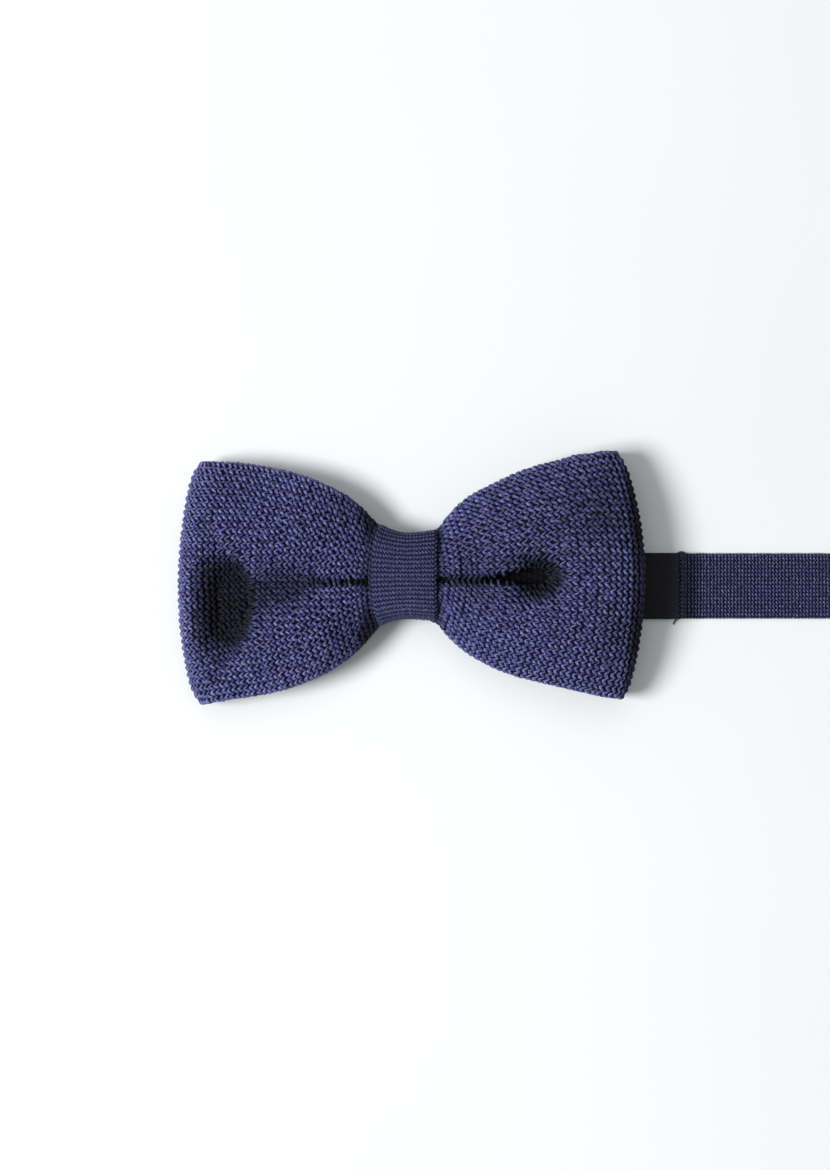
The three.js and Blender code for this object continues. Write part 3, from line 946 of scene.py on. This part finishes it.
loop_line = [(SHORT_END_STOP, ELASTIC_LEVEL), (-30.0, ELASTIC_LEVEL)]
loop_line += arc(EYE_BAR, EYE_BAR[1] - ELASTIC_LEVEL, -90, -270, 24)
loop_line += [(-35.0, 3.72), (-30.0, 2.35), (-28.0, 1.85), (-25.5, 1.7)]
short_end = make_elastic("elastic_short_end_loop", loop_line, "elastic_short_end")
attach(short_end, "knot")

near_elastic = make_elastic(
    "elastic_near", [(SHORT_END_STOP, ELASTIC_LEVEL), (MID_ELASTIC, ELASTIC_LEVEL)], "elastic")
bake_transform(near_elastic)
far_elastic = make_elastic(
    "elastic_far", [(MID_ELASTIC, ELASTIC_LEVEL), (SEAM, ELASTIC_LEVEL)], "elastic")
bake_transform(far_elastic)


# ---- neck strap -----------------------------------------------------------------

FLAT = 0.5               # level of the strap's middle where it lies flat
LIFTED = 1.8             # and over the adjuster's outer bars
HOOK_BAR = (297.8, 3.4)      # x and z, as the next
SLIDE_BAR = (237.5, 4.84)    # the slide's middle bar
HEM_FOLD = 72.65             # where the hem turns back

hem_line = [(75.9, 0.45), (HEM_FOLD, 0.45)]
hem_line += arc((HEM_FOLD, 0.98), 0.53, -90, -270, 9)
hem_line += rounded_line([(HEM_FOLD, 1.51), (75.0, 1.5, 1.5), (78.2, FLAT, 1.5), (101.0, FLAT)])[1:]
fold_line = [(229.0, 1.55), (230.6, LIFTED), (292.0, LIFTED)]
fold_line += arc(HOOK_BAR, HOOK_BAR[1] - LIFTED, -90, 90, 20) + [(291.9, 5.0)]
tail_line = [(291.9, 5.0), (270.0, 5.75), (246.0, 6.56), (240.0, 6.6)]
tail_line += arc(SLIDE_BAR, 1.74, 90, 270, 20) + [(239.5, 3.35), (245.8, 5.35)]

# Each piece runs from the middle of one length of strap to the middle of the next: its name and line,
# the bodies that it joins, where it passes from one to the other, how it is held, and its nodes.
STRAP_PIECES = (
    ("strap_hem", hem_line, "strap_hem", "strap_1", 75.6, 81.0, "folded", ("strap_hem", "strap_1")),
    ("strap_at_joint_2", [(101.0, FLAT), (149.0, FLAT)], "strap_1", "strap_2", 120.2, 130.2, "laid",
     ("strap_1", "strap_2")),
    ("strap_at_joint_3", [(149.0, FLAT), (197.0, FLAT)], "strap_2", "strap_3", 168.2, 178.2, "laid",
     ("strap_2", "strap_3")),
    ("strap_at_joint_4", rounded_line([(197.0, FLAT), (225.4, FLAT, 4.0), (229.0, 1.55)]),
     "strap_3", "strap_4", 216.2, 226.2, "laid", ("strap_3", "strap_4")),
    ("strap_to_hook", fold_line, "strap_4", "hook_end", 242.0, 290.0, "folded",
     ("strap_4", "strap_fold")),
    ("strap_back_to_slide", tail_line, "hook_end", "adjuster", 289.0, 248.0, "folded", ("strap_tail",)),
)


def make_strap():
    """The strap's lengths, one after another, with their stitches in step."""
    start = 0.0
    for name, line, near, far, blend_start, blend_end, held, nodes in STRAP_PIECES:
        strip = Strip(line)
        ply, yarn = make_knit_strip(name, strip, start=start)
        start += strip.length
        for piece in (ply, yarn):
            if name == "strap_hem":
                # Paints the hem's first few millimetres darker, with the same painted shade that the
                # folds use.
                store_painted_shade(piece, lambda x, y, z: 0.72 * smooth_step(-x, -78.5, -75))
            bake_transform(piece)
        declare_strip(ply, [yarn], nodes)


make_strap()


# ---- sewing thread ---------------------------------------------------------------

THREAD_RADIUS = 0.2


def zigzag(x0, x1, half_width, level, pitch):
    """A zigzag row of stitching across the strap; level(x) is the height of the cloth."""
    y = np.arange(-half_width, half_width, pitch / 8)
    phase = (y + half_width) / pitch
    swing = 2 * np.abs(phase % 1 - 0.5)
    x = x0 + (x1 - x0) * swing
    return np.stack([x, y, level(x) + THREAD_RADIUS * (0.9 - 1.6 * (np.abs(swing - 0.5) * 2) ** 6)], -1)


def make_stitching():
    """The rows of thread over the eye's fold, at the hem and at the strap's end, and one loose end."""
    over_fold = zigzag(-27.4, -25.7, HALF_STRAP - 1.5, lambda x: 2.3 - 0.1 * (x + 27), 1.6)
    hem = zigzag(72.7, 73.1, HALF_STRAP - 0.6, lambda x: 1.98 + 0 * x, 1.5)
    y = np.arange(-HALF_STRAP, HALF_STRAP, 0.2)
    overlock = np.stack([71.35 + 0.1 * np.sin(y * 1.9) + 0.05 * np.sin(y * 5), y,
                         1.12 + 0.1 * np.abs(np.sin(y * 1.6))], -1)
    bump = np.linspace(0, 1, 20)
    corners = []
    for k in range(4):
        past_edge = (0.12 + 0.13 * k) * np.sin(math.pi * bump)
        level = 1.5 - 0.35 * k - 0.5 * np.abs(bump - 0.5)
        corners.append(np.stack([71.3 + 2.3 * bump, HALF_STRAP - 0.25 + past_edge, level], -1))
    end = np.linspace(0, 1, 16)
    loose = np.stack([71.3 - 1.3 * end + 0.5 * end ** 3, -HALF_STRAP + 0.2 - 1.5 * end,
                      1.1 - 1.0 * end + 0.3 * np.sin(3 * end)], -1)
    tail = zigzag(243.5, 245.1, HALF_STRAP - 1.0, lambda x: 7.25 + 0 * x, 1.6)
    for name, strands, body, node in (
            ("fold_stitching_thread", [over_fold], "knot", "fold_stitching"),
            ("hem_stitching_thread", [hem, overlock, *corners, loose], "strap_hem", "hem_stitching"),
            ("tail_stitching_thread", [tail], "adjuster", "tail_stitching")):
        settle(yarn_mesh(name, strands, THREAD_RADIUS, THREAD), body, node)


make_stitching()


# ---- metal -----------------------------------------------------------------------

WIRE = 0.78              # radius
RAIL = 9.75              # from the middle to the centre of a side rail
CORNER = 1.1             # radius of a wire frame's corner, at the wire's centre
EYE_REACH = 8.2          # from the eye's bar to its far end
HOOK_REACH = 13.0        # from the hook's bar to the nose of its tongue
EYE_REST = 0.9           # level that the eye's far end rests at
HOOK_REST = 0.85         # and the hook's nose


def wire_frame(gap, side, turn, place):
    """A rectangular loop of wire hung on the bar at its origin, turned about that bar."""
    reach = side * (gap + 2 * WIRE)
    points = []
    corners = [(0, -RAIL), (reach, -RAIL), (reach, RAIL), (0, RAIL)]
    for index, (x, y) in enumerate(corners):
        before, after = corners[index - 1], corners[(index + 1) % 4]
        into = np.sign([before[0] - x, before[1] - y])
        out = np.sign([after[0] - x, after[1] - y])
        centre = np.array([x, y]) + (into + out) * CORNER
        for angle in np.linspace(0, math.pi / 2, 9):
            points.append(centre - out * CORNER * math.cos(angle) - into * CORNER * math.sin(angle))
    points = np.array([(x, y, 0.0) for x, y in points])
    return turned(points, turn, place)


def turned(points, turn, place):
    """Turned about the Y axis by an angle in radians, and moved to a place in the side view."""
    x = points[:, 0] * math.cos(turn) + points[:, 2] * math.sin(turn)
    z = -points[:, 0] * math.sin(turn) + points[:, 2] * math.cos(turn)
    return np.stack([x + place[0], points[:, 1], z + place[1]], -1)


def plate_from_outline(name, outline, y0, y1, turn, place, bevel_mm):
    """A plate with a given side view, from y0 to y1, with its edges rounded."""
    work = bmesh.new()
    rings = []
    for y in (y0, y1):
        points = turned(np.array([(x, y, z) for x, z in outline]), turn, place)
        rings.append([work.verts.new(Vector(p) * MM) for p in points])
    work.faces.new(rings[0])
    work.faces.new(reversed(rings[1]))
    count = len(outline)
    for i in range(count):
        j = (i + 1) % count
        work.faces.new((rings[0][i], rings[1][i], rings[1][j], rings[0][j]))
    bmesh.ops.recalc_face_normals(work, faces=work.faces)
    bevelled(work, sharp_edges(work), bevel_mm)
    return make_object(name, mesh_of(work, name), NICKEL)


def softened_copy(name, node, bevel_mm):
    """The CAD node's own shape, with its edges rounded."""
    work = bmesh.new()
    work.from_mesh(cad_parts[node].data)
    bmesh.ops.remove_doubles(work, verts=work.verts, dist=1e-6)
    bmesh.ops.dissolve_limit(work, angle_limit=math.radians(2), verts=work.verts, edges=work.edges)
    bevelled(work, sharp_edges(work), bevel_mm)
    return make_object(name, mesh_of(work, name), NICKEL)


def make_metal():
    """The wire eye, the wire hook with its stamped tongue, and the pressed slide."""
    eye_turn = -math.asin((EYE_BAR[1] - EYE_REST) / EYE_REACH)
    eye = yarn_mesh("eye_wire", [wire_frame(6.6, -1, eye_turn, EYE_BAR)], WIRE, NICKEL, sides=6,
                    closed=True)
    hook_turn = math.asin((HOOK_BAR[1] - HOOK_REST) / HOOK_REACH)
    hook = yarn_mesh("hook_wire", [wire_frame(4.1, 1, hook_turn, HOOK_BAR)], WIRE, NICKEL, sides=6,
                     closed=True)
    half, throat = 0.5, 2.2
    start, tip = 5.3, 8.1
    bend_x, bend_z = HOOK_REACH - half - throat / 2, half + throat / 2
    outline = [(start, -half)] + arc((bend_x, bend_z), throat / 2 + 1, -90, 90)
    outline += [(tip, bend_z + throat / 2 + 1), (tip, bend_z + throat / 2)]
    outline += arc((bend_x, bend_z), throat / 2, 90, -90) + [(start, half)]
    tongue = plate_from_outline("hook_tongue", outline, -4.5, 4.5, hook_turn, HOOK_BAR, 0.25)
    slide = softened_copy("adjuster_slide_plate", "adjuster_slide", 0.2)
    for piece, body, node in ((eye, "eye", "eye"), (hook, "hook", "hook"), (tongue, "hook", "hook"),
                              (slide, "adjuster", "adjuster_slide")):
        settle(piece, body, node)


make_metal()


# ---- floor and light ---------------------------------------------------------

FLOOR_HALF = 3.0         # metres
FLOOR_LEVEL = -0.0002
SKY = (0.97, 0.985, 1.0, 1.0)
SKY_STRENGTH = 0.28


def make_floor():
    """Plain painted board, matt and nearly white: it shows soft shadows and no shine."""
    work = bmesh.new()
    bmesh.ops.create_grid(work, x_segments=1, y_segments=1, size=FLOOR_HALF)
    mesh = mesh_of(work, "floor")
    material, tree = new_material("matt_white_board")
    place = add(tree, "ShaderNodeTexCoord").outputs["Object"]
    cloud = add(tree, "ShaderNodeTexNoise", {"Vector": place, "Scale": 4.0, "Detail": 2.0})
    colour = colour_ramp(tree, cloud.outputs["Fac"], [(0.3, "#E0E3E4"), (0.7, "#E5E8E8")])
    with_shader(material, tree, {"Base Color": colour, "Roughness": 0.9})
    floor = make_object("floor", mesh, material, smooth=False)
    floor.location.z = FLOOR_LEVEL


def area_light(name, place, size, power):
    """A round soft light at a place, aimed at the knot."""
    data = bpy.data.lights.new(name, "AREA")
    data.shape = "DISK"
    data.size = size
    data.energy = power
    light = bpy.data.objects.new(name, data)
    light.location = place
    light.rotation_euler = (-Vector(place)).to_track_quat("-Z", "Y").to_euler()
    bpy.context.scene.collection.objects.link(light)


def make_light():
    """A window to the left, a broad ceiling and a faint sky."""
    world = bpy.data.worlds.new("studio")
    bpy.context.scene.world = world
    world.use_nodes = True
    background = world.node_tree.nodes["Background"]
    background.inputs["Color"].default_value = SKY
    background.inputs["Strength"].default_value = SKY_STRENGTH
    area_light("window", (-0.98, -0.14, 1.26), size=0.62, power=27.5)
    area_light("ceiling", (-0.10, 0.45, 1.5), size=1.6, power=6.0)


make_floor()
make_light()
